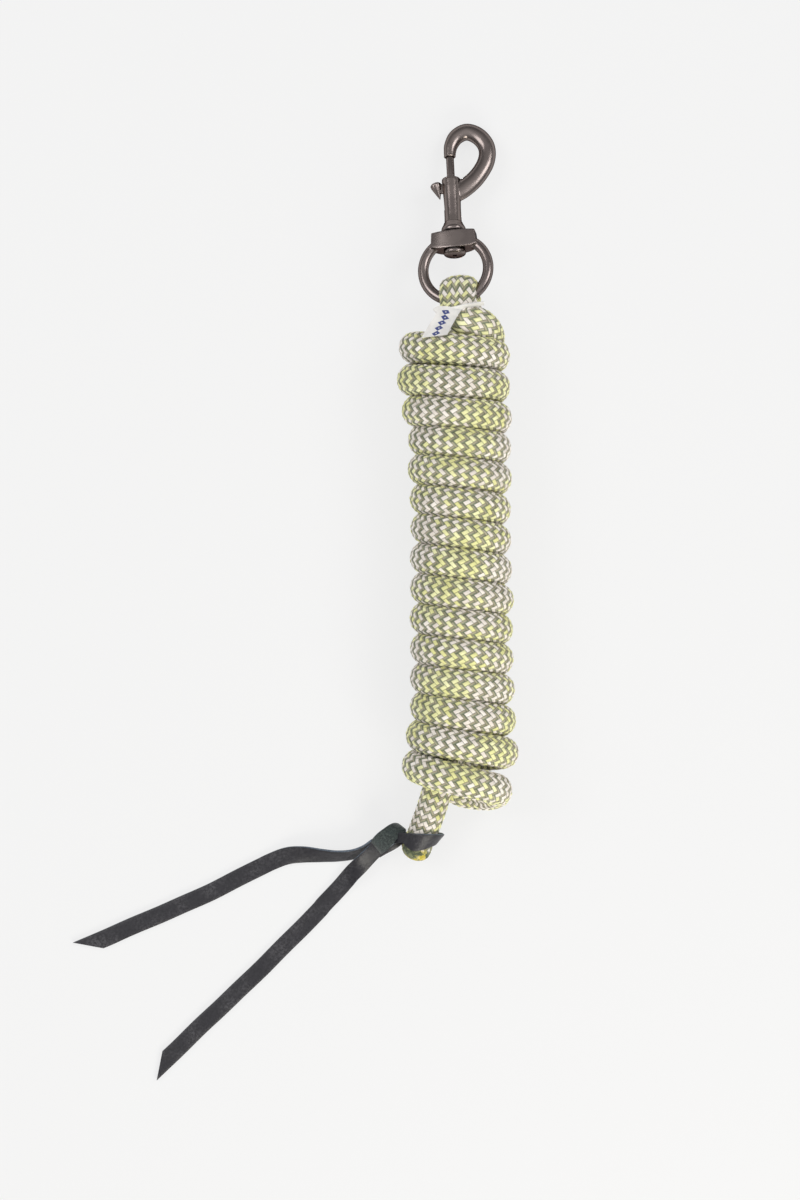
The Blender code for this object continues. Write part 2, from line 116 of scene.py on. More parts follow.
class Shading:
    """A material's tree, with its arithmetic written as calls."""

    def __init__(self, name, roughness=0.5, metallic=0.0, sheen=0.0, specular=0.5):
        self.material = bpy.data.materials.new(name)
        self.material.use_nodes = True
        self.tree = self.material.node_tree
        self.shader = self.tree.nodes["Principled BSDF"]
        self.shader.inputs["Roughness"].default_value = roughness
        self.shader.inputs["Metallic"].default_value = metallic
        self.shader.inputs["Sheen Weight"].default_value = sheen
        self.shader.inputs["Specular IOR Level"].default_value = specular

    def put(self, socket, value):
        if isinstance(value, bpy.types.NodeSocket):
            self.tree.links.new(value, socket)
        elif isinstance(value, (tuple, list)) and len(value) == 3 and socket.type == "RGBA":
            socket.default_value = (*value, 1.0)
        else:
            socket.default_value = value

    def math(self, operation, *values):
        node = self.tree.nodes.new("ShaderNodeMath")
        node.operation = operation
        for socket, value in zip(node.inputs, values):
            self.put(socket, value)
        return node.outputs[0]

    def add(self, a, b):
        return self.math("ADD", a, b)

    def sub(self, a, b):
        return self.math("SUBTRACT", a, b)

    def mul(self, a, b):
        return self.math("MULTIPLY", a, b)

    def floor(self, a):
        return self.math("FLOOR", a)

    def frac(self, a):
        return self.math("FRACT", a)

    def mod(self, a, b):
        return self.math("FLOORED_MODULO", a, b)

    def above(self, a, b):
        return self.math("GREATER_THAN", a, b)

    def below(self, a, b):
        return self.math("LESS_THAN", a, b)

    def size(self, a):
        return self.math("ABSOLUTE", a)

    def pick(self, share, a, b):
        """The number a where share is 0, and b where it is 1."""
        return self.add(a, self.mul(share, self.sub(b, a)))

    def ramp(self, value, low, high, to_low=0.0, to_high=1.0):
        node = self.tree.nodes.new("ShaderNodeMapRange")
        node.interpolation_type = "SMOOTHSTEP"
        for socket, v in zip(node.inputs, (value, low, high, to_low, to_high)):
            self.put(socket, v)
        return node.outputs[0]

    def mix(self, share, a, b, blend="MIX"):
        node = self.tree.nodes.new("ShaderNodeMix")
        node.data_type = "RGBA"
        node.blend_type = blend
        self.put(node.inputs[0], share)
        self.put(node.inputs[6], a)
        self.put(node.inputs[7], b)
        return node.outputs[2]

    def vector(self, x, y, z=0.0):
        node = self.tree.nodes.new("ShaderNodeCombineXYZ")
        for socket, value in zip(node.inputs, (x, y, z)):
            self.put(socket, value)
        return node.outputs[0]

    def uv(self, name):
        node = self.tree.nodes.new("ShaderNodeUVMap")
        node.uv_map = name
        split = self.tree.nodes.new("ShaderNodeSeparateXYZ")
        self.tree.links.new(node.outputs[0], split.inputs[0])
        return split.outputs[0], split.outputs[1]

    def place(self):
        node = self.tree.nodes.new("ShaderNodeTexCoord")
        return node.outputs["Object"]

    def noise(self, at, scale, detail=3.0, rough=0.55):
        node = self.tree.nodes.new("ShaderNodeTexNoise")
        self.put(node.inputs["Vector"], at)
        node.inputs["Scale"].default_value = scale
        node.inputs["Detail"].default_value = detail
        node.inputs["Roughness"].default_value = rough
        return node.outputs[0]

    def cells(self, at, scale):
        node = self.tree.nodes.new("ShaderNodeTexVoronoi")
        self.put(node.inputs["Vector"], at)
        node.inputs["Scale"].default_value = scale
        return node.outputs["Distance"]

    def chance(self, at):
        """A number from 0 to 1 that is the same all over a cell."""
        node = self.tree.nodes.new("ShaderNodeTexWhiteNoise")
        node.noise_dimensions = "3D"
        self.put(node.inputs["Vector"], at)
        return node.outputs[0]

    def bump(self, height, distance, strength):
        node = self.tree.nodes.new("ShaderNodeBump")
        node.inputs["Distance"].default_value = distance
        node.inputs["Strength"].default_value = strength
        self.put(node.inputs["Height"], height)
        return node.outputs[0]

    def finish(self, colour, roughness, normal=None):
        self.put(self.shader.inputs["Base Color"], colour)
        self.put(self.shader.inputs["Roughness"], roughness)
        if normal is not None:
            self.put(self.shader.inputs["Normal"], normal)
        return self.material


def srgb(r, g, b):
    """The shader's colour for one given as it looks on a screen, out of 255."""
    return tuple(((c / 255 + 0.055) / 1.055) ** 2.4 if c > 10 else c / 255 / 12.92 for c in (r, g, b))


STRANDS = 20  # strands each way round the rope
SHIFT = 4000.0  # keeps the strands' numbers positive, and is a whole number of turns
LIGHT_SHARE = 0.58  # the pale strands are fuller than the dark ones between them
YELLOW_S, YELLOW_Z = 16.0, 18.0  # added to the strands' numbers, each way, and counted round the rope
YELLOW_TO = 9.5  # then the pale strands below this number are yellow


def fuller(m, a, share):
    """The strands' numbers with the even ones widened to this share of each pair."""
    pair = m.mul(a, 0.5)
    turn, part = m.floor(pair), m.frac(pair)
    low, high = m.mul(part, 0.5 / share), m.add(m.mul(m.sub(part, share), 0.5 / (1 - share)), 0.5)
    return m.mul(m.add(turn, m.pick(m.above(part, share), low, high)), 2.0)


def rope_material(sealed_from):
    """The braid's colours from its strands' numbers: u runs round the rope and v along it.
    Strands of the first way have whole numbers of u - v, and of the second way of u + v. Each
    float passes over two strands of the other way, and s says how far along it a place lies."""
    m = Shading("braided_rope", roughness=0.82, sheen=0.12, specular=0.3)
    m.shader.inputs["Sheen Roughness"].default_value = 0.5
    u, v = m.uv("braid")
    a, b = m.add(m.sub(u, v), SHIFT), m.add(m.add(u, v), SHIFT)
    a, b = fuller(m, a, LIGHT_SHARE), fuller(m, b, 1 - LIGHT_SHARE)
    i, j, fa, fb = m.floor(a), m.floor(b), m.frac(a), m.frac(b)
    s = m.mod(m.add(i, j), 4.0)
    z_top = m.above(s, 1.5)
    across = m.pick(z_top, fa, fb)
    along = m.mul(m.pick(z_top, m.add(s, fb), m.add(m.sub(s, 2.0), fa)), 0.5)
    number = m.pick(z_top, i, j)
    light_s = m.sub(1.0, m.mod(i, 2.0))
    light_z = m.mod(j, 2.0)
    light = m.pick(z_top, light_s, light_z)
    yellow_s = m.below(m.mod(m.add(i, YELLOW_S), float(STRANDS)), YELLOW_TO)
    yellow_z = m.below(m.mod(m.add(j, YELLOW_Z), float(STRANDS)), YELLOW_TO)
    yellow = m.pick(z_top, yellow_s, yellow_z)
    # the dark strands are two yarns side by side, the green one towards the tail
    khaki = m.pick(z_top, m.above(fa, 0.46), m.below(fb, 0.54))
    # each float has its own shade
    cell = m.vector(number, m.floor(m.mul(m.sub(m.add(i, j), s), 0.25)), z_top)
    tone = m.chance(cell)
    cream = m.mix(tone, srgb(228, 219, 211), srgb(250, 243, 236))
    gold = m.mix(tone, srgb(228, 226, 158), srgb(244, 243, 196))
    green = m.mix(tone, srgb(112, 121, 97), srgb(142, 149, 126))
    sand = m.mix(tone, srgb(156, 149, 124), srgb(182, 175, 152))
    colour = m.mix(light, m.mix(khaki, green, sand), m.mix(yellow, cream, gold))
    # fine filaments along each float
    streak = m.noise(m.vector(m.mul(across, 9.0), m.mul(along, 1.2), m.mul(tone, 40.0)), 1.0, 2.0)
    colour = m.mix(m.ramp(streak, 0.32, 0.6, 0.22, 0.0), colour, srgb(140, 142, 112), "MULTIPLY")
    # painted shade in the crevices where a float dives under its neighbour: the floats' edges and ends are
    # darkened towards dark olive, and the same mask sinks them in the bump
    edge = m.size(m.sub(m.mul(across, 2.0), 1.0))
    end = m.size(m.sub(m.mul(along, 2.0), 1.0))
    deep = m.math("MAXIMUM", m.ramp(edge, 0.74, 1.0), m.ramp(end, 0.82, 1.0))
    # painted shade: the colour is mixed towards dark olive at the floats' edges and ends
    colour = m.mix(m.mul(deep, 0.72), colour, srgb(74, 80, 50))
    # the sealed end is melted: darker, with the colours run together
    melt = m.ramp(v, sealed_from, sealed_from + 1.2)
    blot = m.noise(m.place(), 260.0, 4.0)
    melted = m.mix(m.ramp(blot, 0.5, 0.6), srgb(74, 84, 62), srgb(196, 178, 52))
    colour = m.mix(m.mul(melt, 0.85), colour, melted)
    height = m.sub(m.mul(streak, 0.5), deep)
    normal = m.bump(height, 0.16 * MM, 0.8)
    return m.finish(colour, m.ramp(streak, 0.3, 0.7, 0.74, 0.88), normal)


def gunmetal():
    m = Shading("gunmetal", roughness=0.3, metallic=1.0)
    m.shader.inputs["Specular Tint"].default_value = (0.02, 0.02, 0.03, 1.0)
    at = m.place()
    cloud = m.noise(at, 120.0, 4.0)
    speck = m.noise(at, 3200.0, 2.0)
    colour = m.mix(m.ramp(cloud, 0.35, 0.65), srgb(128, 118, 115), srgb(137, 127, 123))
    rough = m.ramp(cloud, 0.3, 0.7, 0.25, 0.29)
    normal = m.bump(speck, 0.002 * MM, 0.2)
    return m.finish(colour, rough, normal)


def spring_steel():
    m = Shading("spring_steel", roughness=0.28, metallic=1.0)
    drawn = m.noise(m.place(), 1500.0, 2.0)
    return m.finish(m.mix(drawn, srgb(150, 150, 154), srgb(190, 190, 192)), m.ramp(drawn, 0.3, 0.7, 0.22, 0.36))


def leather_grain():
    m = Shading("black_leather", roughness=0.5, specular=0.4)
    at = m.place()
    pores = m.cells(at, 1500.0)
    grain = m.noise(at, 900.0, 5.0, 0.7)
    patch = m.noise(at, 70.0, 5.0, 0.65)
    pale = m.mul(m.ramp(patch, 0.42, 0.74), m.ramp(grain, 0.4, 0.62))
    colour = m.mix(m.mul(pale, 0.55), srgb(42, 41, 46), srgb(94, 93, 97))
    colour = m.mix(m.ramp(grain, 0.56, 0.36, 0.0, 0.5), colour, srgb(24, 24, 28))
    height = m.add(m.mul(grain, 0.9), m.mul(pores, 0.5))
    return m.finish(colour, m.ramp(patch, 0.35, 0.7, 0.36, 0.52), m.bump(height, 0.12 * MM, 0.7))


def leather_flesh():
    m = Shading("leather_flesh_side", roughness=0.85, sheen=0.3, specular=0.2)
    at = m.place()
    nap = m.noise(at, 1400.0, 6.0, 0.8)
    patch = m.noise(at, 220.0, 3.0)
    colour = m.mix(m.ramp(nap, 0.42, 0.66), srgb(36, 42, 43), srgb(84, 92, 90))
    colour = m.mix(m.ramp(patch, 0.35, 0.7, 0.0, 0.5), colour, srgb(52, 62, 62))
    return m.finish(colour, m.ramp(nap, 0.3, 0.7, 0.8, 0.95), m.bump(nap, 0.25 * MM, 0.9))


def leather_edge():
    m = Shading("leather_cut_edge", roughness=0.7, sheen=0.1, specular=0.3)
    nap = m.noise(m.place(), 1800.0, 4.0, 0.7)
    colour = m.mix(m.ramp(nap, 0.35, 0.65), srgb(62, 72, 84), srgb(112, 122, 134))
    return m.finish(colour, m.ramp(nap, 0.3, 0.7, 0.6, 0.8), m.bump(nap, 0.1 * MM, 0.7))


MARK_FROM, MARK_LONG = 17.2, 14.5  # where the label's woven row starts along it, and its length
LOZENGE_PITCH, LOZENGE_LONG, LOZENGE_WIDE = 2.9, 1.45, 2.0  # the last two are half sizes
RIB, WARP = 0.42, 0.3  # the weave's steps along and across


def label_material():
    """Damask tape: fine ribs both ways, pale grey, with a navy row of woven lozenges."""
    m = Shading("woven_tape", roughness=0.62, sheen=0.2, specular=0.35)
    u, v = m.uv("tape")  # millimetres from the tape's middle, across and along
    rib = m.math("SINE", m.mul(v, 2 * math.pi / RIB))
    warp = m.math("SINE", m.mul(u, 2 * math.pi / WARP))
    twill = m.mul(m.add(m.mul(rib, 0.6), m.mul(m.mul(rib, warp), 0.4)), 0.5)
    cloud = m.noise(m.place(), 180.0, 3.0)
    colour = m.mix(m.ramp(cloud, 0.35, 0.65), srgb(213, 211, 208), srgb(228, 226, 223))
    colour = m.mix(m.ramp(twill, -0.45, 0.1, 0.16, 0.0), colour, srgb(150, 150, 152))
    step = m.sub(m.frac(m.mul(m.sub(v, MARK_FROM), 1 / LOZENGE_PITCH)), 0.5)
    lozenge = m.add(m.size(m.mul(step, LOZENGE_PITCH / LOZENGE_LONG)), m.size(m.mul(u, 1 / LOZENGE_WIDE)))
    inside = m.below(lozenge, 1.0)
    hollow = m.above(lozenge, 0.22)
    row = m.mul(m.above(v, MARK_FROM), m.below(v, MARK_FROM + MARK_LONG))
    mark = m.mul(row, m.mul(inside, hollow))
    navy = m.mix(m.ramp(twill, -0.4, 0.4), srgb(46, 56, 108), srgb(70, 82, 136))
    colour = m.mix(mark, colour, navy)
    height = m.add(twill, m.mul(mark, 0.5))
    return m.finish(colour, m.ramp(rib, -1.0, 1.0, 0.68, 0.56), m.bump(height, 0.05 * MM, 0.8))


# ---------------------------------------------------------------- lines and meshes


def catmull(rows, per):
    """Rows of numbers along a smooth curve through the given ones, per steps to a span."""
    p = np.array(rows, float)
    p = np.vstack([2 * p[0] - p[1], p, 2 * p[-1] - p[-2]])
    t = np.arange(per)[:, None] / per
    out = []
    for k in range(1, len(p) - 2):
        a, b, c, d = p[k - 1 : k + 3]
        square, cube = 2 * a - 5 * b + 4 * c - d, 3 * (b - c) + d - a
        out.append(0.5 * (2 * b + (c - a) * t + square * t**2 + cube * t**3))
    return np.vstack([*out, p[-2]])


def unit(v):
    return v / np.maximum(np.linalg.norm(v, axis=-1, keepdims=True), 1e-12)


def directions(line):
    return unit(np.gradient(line, axis=0))


def lengths(line):
    return np.concatenate([[0], np.cumsum(np.linalg.norm(np.diff(line, axis=0), axis=1))])


def tidy_normals(mesh):
    bm = bmesh.new()
    bm.from_mesh(mesh)
    bmesh.ops.recalc_face_normals(bm, faces=bm.faces)
    bm.to_mesh(mesh)
    bm.free()


def add_object(name, verts, faces, materials, uv=None, uv_name="braid"):
    """An object in metres from points in millimetres; uv holds a pair for every corner."""
    mesh = bpy.data.meshes.new(name)
    verts = np.asarray(verts, np.float32) * MM
    sizes = np.array([len(f) for f in faces], np.int32)
    corners = np.fromiter((c for f in faces for c in f), np.int32)
    mesh.vertices.add(len(verts))
    mesh.vertices.foreach_set("co", verts.ravel())
    mesh.loops.add(len(corners))
    mesh.loops.foreach_set("vertex_index", corners)
    mesh.polygons.add(len(sizes))
    mesh.polygons.foreach_set("loop_start", np.concatenate([[0], np.cumsum(sizes)[:-1]]).astype(np.int32))
    mesh.update(calc_edges=True)
    mesh.validate()
    if uv is not None:
        layer = mesh.uv_layers.new(name=uv_name)
        layer.data.foreach_set("uv", np.asarray(uv, np.float32).ravel())
    mesh.shade_smooth()
    made = bpy.data.objects.new(name, mesh)
    bpy.context.scene.collection.objects.link(made)
    for material in materials:
        mesh.materials.append(material)
    return made


# ---------------------------------------------------------------- the rope

HANK_X, HANK_Z = 78.3, 22.6  # the hank's axis, along Y
THIN, WIDE = 6.75, 7.2  # half the rope's thickness and width where it is wound
CORE_THIN, CORE_WIDE = 4.9, 7.0  # and where it runs back inside the wraps
EYE_THIN, EYE_WIDE = 4.25, 8.6  # and where it is pulled tight round the ring
LIFT = 15.7  # from the hank's axis up to a wrap's middle
ROUND = 16  # route points to a turn
STEP_STRAIGHT, STEP_WOUND = 2.3, 1.95  # length of one step of the braid, straight and wound
WOUND_FROM, WOUND_PAST = 17, 25  # how fast a bend counts as wound, and stops counting
TIGHT = 0.105  # bends tighter than this (per millimetre) keep the straight braid

# Outer left and right edges of each wrap, and where its middle is along Y at both sides
LEFT_X = [49.3, 48.4, 50.7, 53.6, 53.5, 54.4, 54.8, 54.5, 54.5, 54.4, 54.6, 54.5, 54.5, 52.6, 50.7]
RIGHT_X = [
    98.7, 101.1, 101.2, 102.0, 101.7, 102.0, 101.5, 101.7, 102.1, 102.9, 102.5, 102.8, 103.4, 103.9, 105.2, 102.3,
]
LEFT_Y = [119.1, 103.9, 89.5, 75.9, 62.3, 48.6, 35.0, 20.9, 6.8, -7.3, -21.4, -35.2, -48.7, -62.2, -76.3]
RIGHT_Y = [
    124.0, 115.4, 100.8, 86.2, 72.2, 57.9, 43.5, 29.2, 15.2, 1.3, -12.4, -26.4, -40.6, -55.1, -70.2, -87.6,
]
# how much higher than the rest each wrap's top lies
WRAP_LIFT = [0.0, -0.2, 0.25, 0.0, -0.25, 0.2, 0.1, -0.2, 0.15, 0.3, -0.1, 0.2, -0.15, 0.1, 0.25, 0.4]
WRAPS = len(LEFT_X)
LAST_LOW = 0.25  # lifts the last wrap's underside off the floor

PIVOT = np.array([76.5, 141.0, 26.0])
WIRE = np.array([0.981697, 0.090850, 0.167383])  # the ring's wire where the rope bends round it
BEND_Y = np.array([-0.08956, 0.99586, -0.01527])
BEND_Z = np.array([-0.16808, 0.0, 0.98577])
BEND_R = 7.35
EYE_SHIFT = 1.4  # the rope lies this far along the wire


def route_row(at, flat, thin, wide):
    return [*at, *flat, thin, wide]


def rope_rows():
    """The rope's middle line, the direction it is flattened in, and half its thickness and width."""
    rows = []
    along_wire = PIVOT + EYE_SHIFT * WIRE
    for y, drop, thin, wide in (
        (-12.6, -5.2, 5.4, 7.0), (-8.2, -6.6, 4.8, 8.0), (-4.0, -7.3, EYE_THIN, EYE_WIDE),
    ):
        rows.append(route_row(along_wire + y * BEND_Y + drop * BEND_Z, -BEND_Z, thin, wide))
    for k in range(9):
        turn = -math.pi / 2 + math.pi * k / 8
        out = math.cos(turn) * BEND_Y + math.sin(turn) * BEND_Z
        rows.append(route_row(along_wire + BEND_R * out, out, EYE_THIN, EYE_WIDE))
    for at, flat, thin, wide in (
        ((76.9, 138.4, 33.9), (-0.15, 0.0, 1.0), 4.4, 8.5),
        ((77.0, 135.6, 34.4), (-0.1, 0.0, 1.0), 4.9, 8.3),
        ((77.9, 133.0, 35.0), (0.0, 0.1, 1.0), 5.6, 7.8),
        ((80.4, 131.2, 35.5), (0.12, 0.1, 1.0), 6.2, 7.4),
        ((83.9, 130.4, 35.1), (0.3, 0.1, 1.0), 6.5, 7.2),
        ((87.4, 129.1, 33.1), (0.73, 0.0, 0.68), THIN, WIDE),
        ((90.2, 126.9, 28.7), (0.91, 0.0, 0.42), THIN, WIDE),
    ):
        rows.append(route_row(np.array(at), flat, thin, wide))
    for w in range(WRAPS + 1):
        right_x, right_y = RIGHT_X[w] - THIN, RIGHT_Y[w]
        if w:
            left_x, left_y = LEFT_X[w - 1] + THIN, LEFT_Y[w - 1]
            for k in range(ROUND // 2):
                turn = 2 * math.pi * k / ROUND
                share = 0.5 * turn / math.pi + 0.25 * (1 - math.cos(turn))
                x = (left_x + right_x) / 2 - (right_x - left_x) / 2 * math.cos(turn)
                z = HANK_Z + (LIFT + WRAP_LIFT[w]) * math.sin(turn)
                at = (x, left_y + (right_y - left_y) * share, z)
                rows.append(route_row(at, (-math.cos(turn), 0.0, math.sin(turn)), THIN, WIDE))
        if w < WRAPS:
            left_x, left_y = LEFT_X[w] + THIN, LEFT_Y[w]
            for k in range(ROUND // 2):
                turn = math.pi + 2 * math.pi * k / ROUND
                share = 2 * k / ROUND
                x = (left_x + right_x) / 2 - (right_x - left_x) / 2 * math.cos(turn)
                at = (x, right_y + (left_y - right_y) * share, HANK_Z + LIFT * math.sin(turn))
                rows.append(route_row(at, (-math.cos(turn), 0.0, math.sin(turn)), THIN, WIDE))
    for at, flat, thin, wide in (
        ((95.4, -87.9, 22.6), (1, -0.1, 0.1), THIN, WIDE),
        ((94.4, -89.6, 16.2), (0.93, -0.2, -0.3), THIN, WIDE),
        ((90.6, -90.6, 10.4), (0.65, -0.2, -0.75), THIN, WIDE),
        ((85.0, -90.4, 7.4 + LAST_LOW), (0.1, -0.1, -1), 6.7, WIDE),
        ((79.2, -89.2, 6.9 + LAST_LOW), (0, -0.1, -1), 6.4, WIDE),
        ((74.6, -86.4, 7.4 + LAST_LOW), (-0.1, 0, -1), 6.2, 7.0),
        ((72.9, -81.0, 9.8 + LAST_LOW), (-0.3, 0, -1), 5.8, 6.9),
        ((74.4, -74.0, 14.6), (-0.8, 0, -1), 5.2, 6.8),
        ((78.2, -65.0, 19.2), (-1, 0, -0.4), CORE_THIN, CORE_WIDE),
        ((81.8, -54.0, 22.2), (-1, 0, 0), CORE_THIN, CORE_WIDE),
        *(((83.2, y, 22.6), (-1, 0, 0), CORE_THIN, CORE_WIDE) for y in (*range(-43, 88, 11), 95, 101, 106)),
        ((83.0, 109.9, 22.6), (-1, -0.2, 0), CORE_THIN, CORE_WIDE),
        ((81.6, 113.2, 22.6), (-0.75, -0.66, 0), CORE_THIN, CORE_WIDE),
        ((78.3, 114.6, 22.6), (0.05, -1, 0), CORE_THIN, CORE_WIDE),
        ((75.0, 113.2, 22.6), (0.75, -0.66, 0), CORE_THIN, CORE_WIDE),
        ((73.6, 109.9, 22.6), (1, -0.2, 0), CORE_THIN, CORE_WIDE),
        *(((73.4, y, 22.6), (1, 0, 0), CORE_THIN, CORE_WIDE) for y in (106, 101, 95, *range(87, -50, -11))),
        ((72.9, -54.0, 23.0), (1, 0, 0.1), 5.2, 7.0),
        ((71.8, -65.0, 23.2), (1, 0, 0.5), 5.8, 7.0),
        ((70.3, -75.0, 21.9), (0.6, 0, 1), 6.3, 7.0),
        ((68.5, -83.5, 19.4), (0.2, 0, 1), 6.6, 7.0),
        ((66.4, -90.8, 16.8), (0, 0, 1), 6.8, 7.0),
        ((64.5, -97.2, 14.6), (0, 0, 1), 7.0, 7.0),
        ((62.3, -103.4, 12.5), (0, 0, 1), 7.0, 7.0),
        ((60.1, -109.2, 10.7), (0, 0, 1), 6.9, 6.9),
        ((57.9, -115.2, 9.1), (0, 0, 1), 6.7, 6.8),
        ((55.7, -121.2, 8.0), (0, 0, 1), 6.6, 6.7),
    ):
        rows.append(route_row(at, flat, thin, wide))
    return rows


SIDES = 100
STEPS = 5  # rings to one step of the braid
TWIST = 0.10  # how far the braid leans round the rope, in strands to a step
FLOAT_HEIGHT = 0.7
FLOAT_MIDDLE = 0.62  # the share of it that lies inside the rope's plain oval section
SEAL_LONG = 5.2  # the rounded length of the sealed end
ROUTE_STEP = 0.5  # the route's spacing before it is smoothed over nine of its points


def widened(a, share):
    """As fuller() does in the material, so that the mesh and its colours agree."""
    turn, part = np.floor(a / 2), np.mod(a / 2, 1)
    upper = 0.5 + (part - share) * 0.5 / (1 - share)
    return 2 * (turn + np.where(part > share, upper, part * 0.5 / share))


def braid_height(u, v):
    """How far a point of the braid stands up: floats with round backs that dive under each other."""
    a, b = widened(u - v + SHIFT, LIGHT_SHARE), widened(u + v + SHIFT, 1 - LIGHT_SHARE)
    i, j = np.floor(a), np.floor(b)
    fa, fb = a - i, b - j
    s = np.mod(i + j, 4)
    z_top = s > 1.5
    across = np.where(z_top, fb, fa)
    along = np.where(z_top, s - 2 + fa, s + fb) / 2
    light = np.where(z_top, np.mod(j, 2), 1 - np.mod(i, 2)) > 0.5
    back = np.sqrt(np.clip(1 - (2 * across - 1) ** 2, 0, 1))
    half = 2 * np.mod(across * 2, 1) - 1
    pair = 0.58 * back + 0.26 * np.sqrt(np.clip(1 - half**2, 0, 1))
    rise = np.sin(np.pi * np.clip(along, 0.02, 0.98)) ** 0.55
    return np.where(light, back, pair) * rise


def columns(at, along, rows):
    return np.stack([np.interp(at, along, column) for column in rows.T], axis=1)


def make_rope():
    rows = catmull(rope_rows(), 12)
    along = lengths(rows[:, :3])
    even = np.linspace(0, along[-1], int(along[-1] / ROUTE_STEP))
    rows = columns(even, along, rows)
    kernel = np.hanning(9)
    kernel /= kernel.sum()
    for k in range(rows.shape[1]):
        rows[4:-4, k] = np.convolve(rows[:, k], kernel, "valid")
    line = rows[:, :3]
    along = lengths(line)
    heading = directions(line)
    bending = np.linalg.norm(np.gradient(heading, axis=0), axis=1) / np.gradient(along)
    wound = np.clip(bending * WOUND_FROM, 0, 1) * (1 - np.clip((bending - TIGHT) * WOUND_PAST, 0, 1))
    pitch = STEP_STRAIGHT - (STEP_STRAIGHT - STEP_WOUND) * wound
    braid_v = np.concatenate([[0], np.cumsum(np.diff(along) / ((pitch[1:] + pitch[:-1]) / 2))])
    # fewer rings where the rope runs inside the wraps, beside the hank's axis
    level_with_axis = np.abs(rows[:, 2] - 22.7) < 0.6
    hidden = level_with_axis & (np.abs(rows[:, 0] - HANK_X) < 5.4) & (rows[:, 1] < 116)
    density = np.where(hidden, 0.5, STEPS)
    count = np.concatenate([[0], np.cumsum(np.diff(braid_v) * (density[1:] + density[:-1]) / 2)])
    at = np.interp(np.arange(0, count[-1], 1.0), count, along)
    at = np.append(at[:-1], along[-1])
    rings = columns(at, along, rows)
    v = np.interp(at, along, braid_v)
    centres, heading = rings[:, :3], directions(rings[:, :3])
    side = np.zeros_like(centres)
    side[0] = unit(np.cross(heading[0], [0.0, 0.0, 1.0]))
    for k in range(1, len(side)):
        carried = side[k - 1] - heading[k] * (side[k - 1] @ heading[k])
        side[k] = carried / np.linalg.norm(carried)
    up = np.cross(heading, side)
    flat = unit(rings[:, 3:6] - heading * (rings[:, 3:6] * heading).sum(1, keepdims=True))
    wide = np.cross(heading, flat)
    angle = 2 * np.pi * np.arange(SIDES) / SIDES
    side, up, flat, wide = (axis[:, None, :] for axis in (side, up, flat, wide))
    out = np.cos(angle)[None, :, None] * side + np.sin(angle)[None, :, None] * up
    to_flat, to_wide = (out * flat).sum(2), (out * wide).sum(2)
    # an oval section with the strands evenly spaced round it
    thin, broad = rings[:, 6:7], rings[:, 7:8]
    turn = np.arctan2(to_wide, to_flat)
    turn = turn - (broad - thin) / (2 * (broad + thin)) * np.sin(2 * turn)
    cos, sin = np.cos(turn), np.sin(turn)
    skin = (thin * cos)[:, :, None] * flat + (broad * sin)[:, :, None] * wide
    normal = unit((cos / thin)[:, :, None] * flat + (sin / broad)[:, :, None] * wide)
    u = STRANDS * angle[None, :] / (2 * np.pi)
    left = at[-1] - at
    melted = np.clip(left / 3.0, 0, 1)
    inner = np.clip(at / 2.0, 0, 1)
    height = (braid_height(u - TWIST * v[:, None], v[:, None]) - FLOAT_MIDDLE) * FLOAT_HEIGHT
    height = height * (0.35 + 0.65 * melted)[:, None]
    close = np.clip(1 - left / SEAL_LONG, 0, 1)
    dome = np.sqrt(np.clip(1 - close**2 * 0.995, 0, 1)) * (0.3 + 0.7 * np.sqrt(inner))
    points = centres[:, None, :] + (skin + height[:, :, None] * normal) * dome[:, None, None]
    points[:, :, 2] = np.maximum(points[:, :, 2], 0.05)
    verts = np.vstack([points.reshape(-1, 3), centres[:1], centres[-1:] + heading[-1:] * 0.15])
    n = len(centres)
    ring, turn = np.meshgrid(np.arange(n - 1), np.arange(SIDES), indexing="ij")
    after = (turn + 1) % SIDES
    this, later = ring * SIDES, (ring + 1) * SIDES
    quads = np.stack([this + turn, this + after, later + after, later + turn], 2)
    lean = -TWIST * v
    u_low, u_high = STRANDS * turn / SIDES, STRANDS * (turn + 1) / SIDES
    near, far = lean[ring], lean[ring + 1]
    corner_u = np.stack([u_low + near, u_high + near, u_high + far, u_low + far], 2)
    corner_v = np.stack([v[ring], v[ring], v[ring + 1], v[ring + 1]], 2)
    quads = quads.reshape(-1, 4)
    uv = np.stack([corner_u.reshape(-1), corner_v.reshape(-1)], 1)
    first, last = n * SIDES, n * SIDES + 1
    base = (n - 1) * SIDES
    caps, cap_uv = [], []
    for k in range(SIDES):
        nxt = (k + 1) % SIDES
        caps.append((first, nxt, k))
        cap_uv += [(0, 0)] * 3
        caps.append((last, base + k, base + nxt))
        cap_uv += [(k * STRANDS / SIDES + lean[-1], v[-1])] * 3
    faces = [tuple(q) for q in quads.tolist()] + caps
    uv = np.vstack([uv, np.array(cap_uv)])
    sealed = rope_material(float(v[-1]) - 4.0)
    return add_object("lead_rope_braid", verts, faces, [sealed], uv), centres, float(at[-1])


rope, rope_line, rope_long = make_rope()
print("rope length", round(rope_long, 1), "mm; vertices", len(rope.data.vertices))
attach(rope, "rope")
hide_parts("rope_eye", "rope_hank", "rope_tail")

# ---------------------------------------------------------------- metal


def mesh_object(name, bm):
    mesh = bpy.data.meshes.new(name)
    bm.to_mesh(mesh)
    bm.free()
    made = bpy.data.objects.new(name, mesh)
    bpy.context.scene.collection.objects.link(made)
    return made


